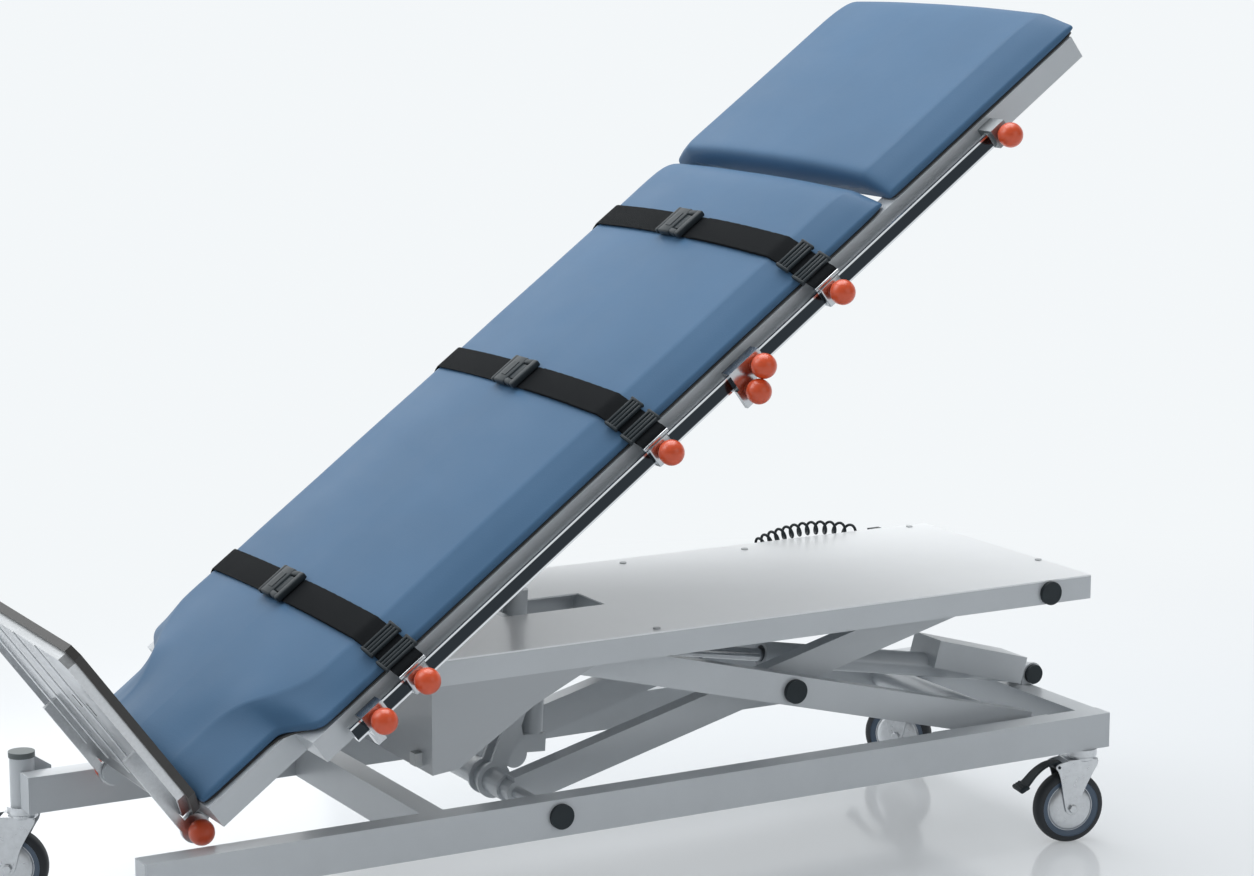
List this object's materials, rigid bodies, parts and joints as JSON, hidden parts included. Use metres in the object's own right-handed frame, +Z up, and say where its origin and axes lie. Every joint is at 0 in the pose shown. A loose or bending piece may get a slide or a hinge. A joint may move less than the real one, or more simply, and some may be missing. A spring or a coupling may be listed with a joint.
{
  "type": "physiotherapy tilt table",
  "caption": "Wheeled tilt table with a scissor lift, a level deck, a padded tilting top on an actuator, a footplate, body straps, accessory rails and round clamping knobs",
  "frame": {"origin": "on the floor under the middle of the outer box, with the table down and the top tilted as in the picture", "axes": "+X runs to the head end, +Z up, the near side with the knobs is -Y"},
  "size_m": [1.8788, 0.7953, 1.4247],
  "materials": {
    "frame_paint": "satin",
    "deck_paint": "satin",
    "dark_plastic": "matte",
    "zinc": "brushed",
    "wheel_rubber": "matte",
    "chrome": "polished",
    "aluminium": "satin",
    "knob_orange": "gloss",
    "upholstery": "coated fabric",
    "webbing": "woven",
    "footboard": "dark laminate",
    "key_grey": "matte"
  },
  "bodies": {
    "base": {"base_rails": "frame_paint", "base_cross_members": "frame_paint", "foot_posts": "frame_paint", "base_caps": "dark_plastic", "caster_heads": "dark_plastic", "lift_actuator": "frame_paint"},
    "inner_arms": {"inner_arm_frame": "frame_paint", "mid_pivots": "dark_plastic"},
    "outer_arms": {"outer_arm_frame": "frame_paint"},
    "base_rollers": {"base_roller_shaft": "zinc"},
    "near_deck_roller": {"deck_roller_near": "zinc"},
    "far_deck_roller": {"deck_roller_far": "zinc"},
    "lift_ram": {"lift_rod": "chrome"},
    "deck": {"deck_frame": "frame_paint", "deck_cover": "deck_paint", "pillow_blocks": "frame_paint", "deck_fittings": "dark_plastic", "handset": "dark_plastic", "handset_cord": "dark_plastic"},
    "height_key": {"height_rocker": "key_grey"},
    "tilt_key": {"tilt_rocker": "key_grey"},
    "tilt_motor": {"tilt_actuator": "frame_paint"},
    "tilt_ram": {"tilt_rod": "chrome"},
    "tabletop": {"table_frame": "frame_paint", "table_board": "frame_paint", "accessory_rails": "chrome", "main_cushion": "upholstery", "head_board": "frame_paint", "head_cushion": "upholstery"},
    "footplate": {"footplate_frame": "aluminium", "footplate_board": "footboard"},
    "near_footplate_knob": {"footplate_knob_near": "knob_orange"},
    "far_footplate_knob": {"footplate_knob_far": "knob_orange"},
    "chest_strap": {"chest_strap_webbing": "webbing", "chest_strap_clamps": "chrome"},
    "hip_strap": {"hip_strap_webbing": "webbing", "hip_strap_clamps": "chrome"},
    "shin_strap": {"shin_strap_webbing": "webbing", "shin_strap_clamps": "chrome"},
    "chest_knob": {"chest_strap_knob": "knob_orange"},
    "hip_knob": {"hip_strap_knob": "knob_orange"},
    "shin_knob": {"shin_strap_knob": "knob_orange"},
    "foot_rail_clamp": {"foot_clamp": "chrome"},
    "foot_rail_knob": {"foot_clamp_knob": "knob_orange"},
    "double_rail_clamp": {"double_clamp": "chrome"},
    "double_front_knob": {"double_clamp_front_knob": "knob_orange"},
    "double_low_knob": {"double_clamp_low_knob": "knob_orange"},
    "socket_knob": {"head_socket_knob": "knob_orange"},
    "near_foot_fork": {"caster_fork_near_foot": "zinc"},
    "near_foot_wheel": {"caster_wheel_near_foot": "wheel_rubber"},
    "near_foot_pedal": {"caster_brake_near_foot": "dark_plastic"},
    "far_foot_fork": {"caster_fork_far_foot": "zinc"},
    "far_foot_wheel": {"caster_wheel_far_foot": "wheel_rubber"},
    "far_foot_pedal": {"caster_brake_far_foot": "dark_plastic"},
    "near_head_fork": {"caster_fork_near_head": "zinc"},
    "near_head_wheel": {"caster_wheel_near_head": "wheel_rubber"},
    "near_head_pedal": {"caster_brake_near_head": "dark_plastic"},
    "far_head_fork": {"caster_fork_far_head": "zinc"},
    "far_head_wheel": {"caster_wheel_far_head": "wheel_rubber"},
    "far_head_pedal": {"caster_brake_far_head": "dark_plastic"}
  },
  "joints": [
    {"name": "lift", "type": "hinge", "parent": "base", "child": "inner_arms", "pos_m": [-0.14607, 0.02085, 0.197], "axis": [0, -1, 0], "range_deg": [0, 23.6]},
    {"name": "scissor", "type": "hinge", "parent": "inner_arms", "child": "outer_arms", "pos_m": [0.32893, 0.02085, 0.319], "axis": [0, -1, 0], "range_deg": [-47.2, 0]},
    {"name": "deck_level", "type": "hinge", "parent": "inner_arms", "child": "deck", "pos_m": [0.80393, 0.02085, 0.441], "axis": [0, -1, 0], "range_deg": [-23.6, 0]},
    {"name": "lift_ram_pivot", "type": "hinge", "parent": "inner_arms", "child": "lift_ram", "pos_m": [-0.05811, -0.00915, 0.41492], "axis": [0, -1, 0], "range_deg": [-23.6, 0]},
    {"name": "base_roller_spin", "type": "hinge", "parent": "outer_arms", "child": "base_rollers", "pos_m": [0.80393, 0.02085, 0.197], "axis": [0, -1, 0], "continuous": true},
    {"name": "near_deck_roller_spin", "type": "hinge", "parent": "outer_arms", "child": "near_deck_roller", "pos_m": [-0.14607, -0.21515, 0.441], "axis": [0, -1, 0], "continuous": true},
    {"name": "far_deck_roller_spin", "type": "hinge", "parent": "outer_arms", "child": "far_deck_roller", "pos_m": [-0.14607, 0.25685, 0.441], "axis": [0, -1, 0], "continuous": true},
    {"name": "tilt", "type": "hinge", "parent": "deck", "child": "tabletop", "pos_m": [-0.33407, 0.02085, 0.478], "axis": [0, -1, 0], "range_deg": [-36.4, 4]},
    {"name": "tilt_motor_pivot", "type": "hinge", "parent": "deck", "child": "tilt_motor", "pos_m": [-0.08399, 0.04585, 0.21904], "axis": [0, -1, 0], "range_deg": [-18.2, 2]},
    {"name": "tilt_ram_pivot", "type": "hinge", "parent": "tabletop", "child": "tilt_ram", "pos_m": [-0.05331, 0.04585, 0.70333], "axis": [0, -1, 0], "range_deg": [-2, 18.2]},
    {"name": "footplate_angle", "type": "hinge", "parent": "tabletop", "child": "footplate", "pos_m": [-0.71047, 0.02085, 0.23528], "axis": [0, -1, 0], "range_deg": [0, 20]},
    {"name": "near_footplate_knob_turn", "type": "hinge", "parent": "footplate", "child": "near_footplate_knob", "pos_m": [-0.71047, -0.17915, 0.23528], "axis": [0, 1, 0], "continuous": true},
    {"name": "far_footplate_knob_turn", "type": "hinge", "parent": "footplate", "child": "far_footplate_knob", "pos_m": [-0.71047, 0.22085, 0.23528], "axis": [0, 1, 0], "continuous": true},
    {"name": "height_key_press", "type": "hinge", "parent": "deck", "child": "height_key", "pos_m": [0.50394, 0.30235, 0.397], "axis": [1, 0, 0], "range_deg": [-5, 5], "stiffness_Nm_per_rad": 0.2},
    {"name": "tilt_key_press", "type": "hinge", "parent": "deck", "child": "tilt_key", "pos_m": [0.50394, 0.30235, 0.349], "axis": [1, 0, 0], "range_deg": [-5, 5], "stiffness_Nm_per_rad": 0.2},
    {"name": "chest_strap_slide", "type": "slide", "parent": "tabletop", "child": "chest_strap", "axis": [0.8049, 0, 0.5934], "range_m": [-0.1, 0.08]},
    {"name": "chest_knob_turn", "type": "hinge", "parent": "chest_strap", "child": "chest_knob", "pos_m": [0.28696, -0.37415, 1.00232], "axis": [0, 1, 0], "continuous": true},
    {"name": "hip_strap_slide", "type": "slide", "parent": "tabletop", "child": "hip_strap", "axis": [0.8049, 0, 0.5934], "range_m": [-0.1, 0.06]},
    {"name": "hip_knob_turn", "type": "hinge", "parent": "hip_strap", "child": "hip_knob", "pos_m": [-0.01729, -0.37415, 0.77801], "axis": [0, 1, 0], "continuous": true},
    {"name": "shin_strap_slide", "type": "slide", "parent": "tabletop", "child": "shin_strap", "axis": [0.8049, 0, 0.5934], "range_m": [0, 0.1]},
    {"name": "shin_knob_turn", "type": "hinge", "parent": "shin_strap", "child": "shin_knob", "pos_m": [-0.4286, -0.37415, 0.47478], "axis": [0, 1, 0], "continuous": true},
    {"name": "foot_clamp_slide", "type": "slide", "parent": "tabletop", "child": "foot_rail_clamp", "axis": [0.8049, 0, 0.5934], "range_m": [-0.02, 0.02]},
    {"name": "foot_clamp_knob_turn", "type": "hinge", "parent": "foot_rail_clamp", "child": "foot_rail_knob", "pos_m": [-0.49862, -0.37415, 0.42315], "axis": [0, 1, 0], "continuous": true},
    {"name": "double_clamp_slide", "type": "slide", "parent": "tabletop", "child": "double_rail_clamp", "axis": [0.8049, 0, 0.5934], "range_m": [-0.05, 0.03]},
    {"name": "double_front_knob_turn", "type": "hinge", "parent": "double_rail_clamp", "child": "double_front_knob", "pos_m": [0.14529, -0.37415, 0.89788], "axis": [0, 1, 0], "continuous": true},
    {"name": "double_low_knob_turn", "type": "hinge", "parent": "double_rail_clamp", "child": "double_low_knob", "pos_m": [0.13497, -0.37415, 0.85797], "axis": [0, 1, 0], "continuous": true},
    {"name": "socket_knob_turn", "type": "hinge", "parent": "tabletop", "child": "socket_knob", "pos_m": [0.59845, -0.37415, 1.23198], "axis": [0, 1, 0], "continuous": true},
    {"name": "near_foot_swivel", "type": "hinge", "parent": "base", "child": "near_foot_fork", "pos_m": [-0.78607, -0.23715, 0.15], "axis": [0, 0, 1], "continuous": true},
    {"name": "near_foot_roll", "type": "hinge", "parent": "near_foot_fork", "child": "near_foot_wheel", "pos_m": [-0.80862, -0.24536, 0.0625], "axis": [0.342, -0.9397, 0], "continuous": true},
    {"name": "near_foot_brake", "type": "hinge", "parent": "near_foot_fork", "child": "near_foot_pedal", "pos_m": [-0.83305, -0.25425, 0.137], "axis": [0.342, -0.9397, 0], "range_deg": [0, 10]},
    {"name": "far_foot_swivel", "type": "hinge", "parent": "base", "child": "far_foot_fork", "pos_m": [-0.81907, 0.31885, 0.15], "axis": [0, 0, 1], "continuous": true},
    {"name": "far_foot_roll", "type": "hinge", "parent": "far_foot_fork", "child": "far_foot_wheel", "pos_m": [-0.83942, 0.33157, 0.0625], "axis": [-0.5299, -0.848, 0], "continuous": true},
    {"name": "far_foot_brake", "type": "hinge", "parent": "far_foot_fork", "child": "far_foot_pedal", "pos_m": [-0.86147, 0.34535, 0.137], "axis": [-0.5299, -0.848, 0], "range_deg": [0, 10]},
    {"name": "near_head_swivel", "type": "hinge", "parent": "base", "child": "near_head_fork", "pos_m": [0.87394, -0.23715, 0.15], "axis": [0, 0, 1], "continuous": true},
    {"name": "near_head_roll", "type": "hinge", "parent": "near_head_fork", "child": "near_head_wheel", "pos_m": [0.85046, -0.23216, 0.0625], "axis": [-0.2079, -0.9781, 0], "continuous": true},
    {"name": "near_head_brake", "type": "hinge", "parent": "near_head_fork", "child": "near_head_pedal", "pos_m": [0.82503, -0.22675, 0.137], "axis": [-0.2079, -0.9781, 0], "range_deg": [0, 10]},
    {"name": "far_head_swivel", "type": "hinge", "parent": "base", "child": "far_head_fork", "pos_m": [0.87394, 0.27885, 0.15], "axis": [0, 0, 1], "continuous": true},
    {"name": "far_head_roll", "type": "hinge", "parent": "far_head_fork", "child": "far_head_wheel", "pos_m": [0.85851, 0.29724, 0.0625], "axis": [-0.766, -0.6428, 0], "continuous": true},
    {"name": "far_head_brake", "type": "hinge", "parent": "far_head_fork", "child": "far_head_pedal", "pos_m": [0.84179, 0.31715, 0.137], "axis": [-0.766, -0.6428, 0], "range_deg": [0, 10]}
  ],
  "couplings": [
    {"joint": "scissor", "follows": "lift", "ratio": -2},
    {"joint": "deck_level", "follows": "lift", "ratio": -1},
    {"joint": "lift_ram_pivot", "follows": "lift", "ratio": -1},
    {"joint": "tilt_motor_pivot", "follows": "tilt", "ratio": 0.5},
    {"joint": "tilt_ram_pivot", "follows": "tilt", "ratio": -0.5}
  ]
}
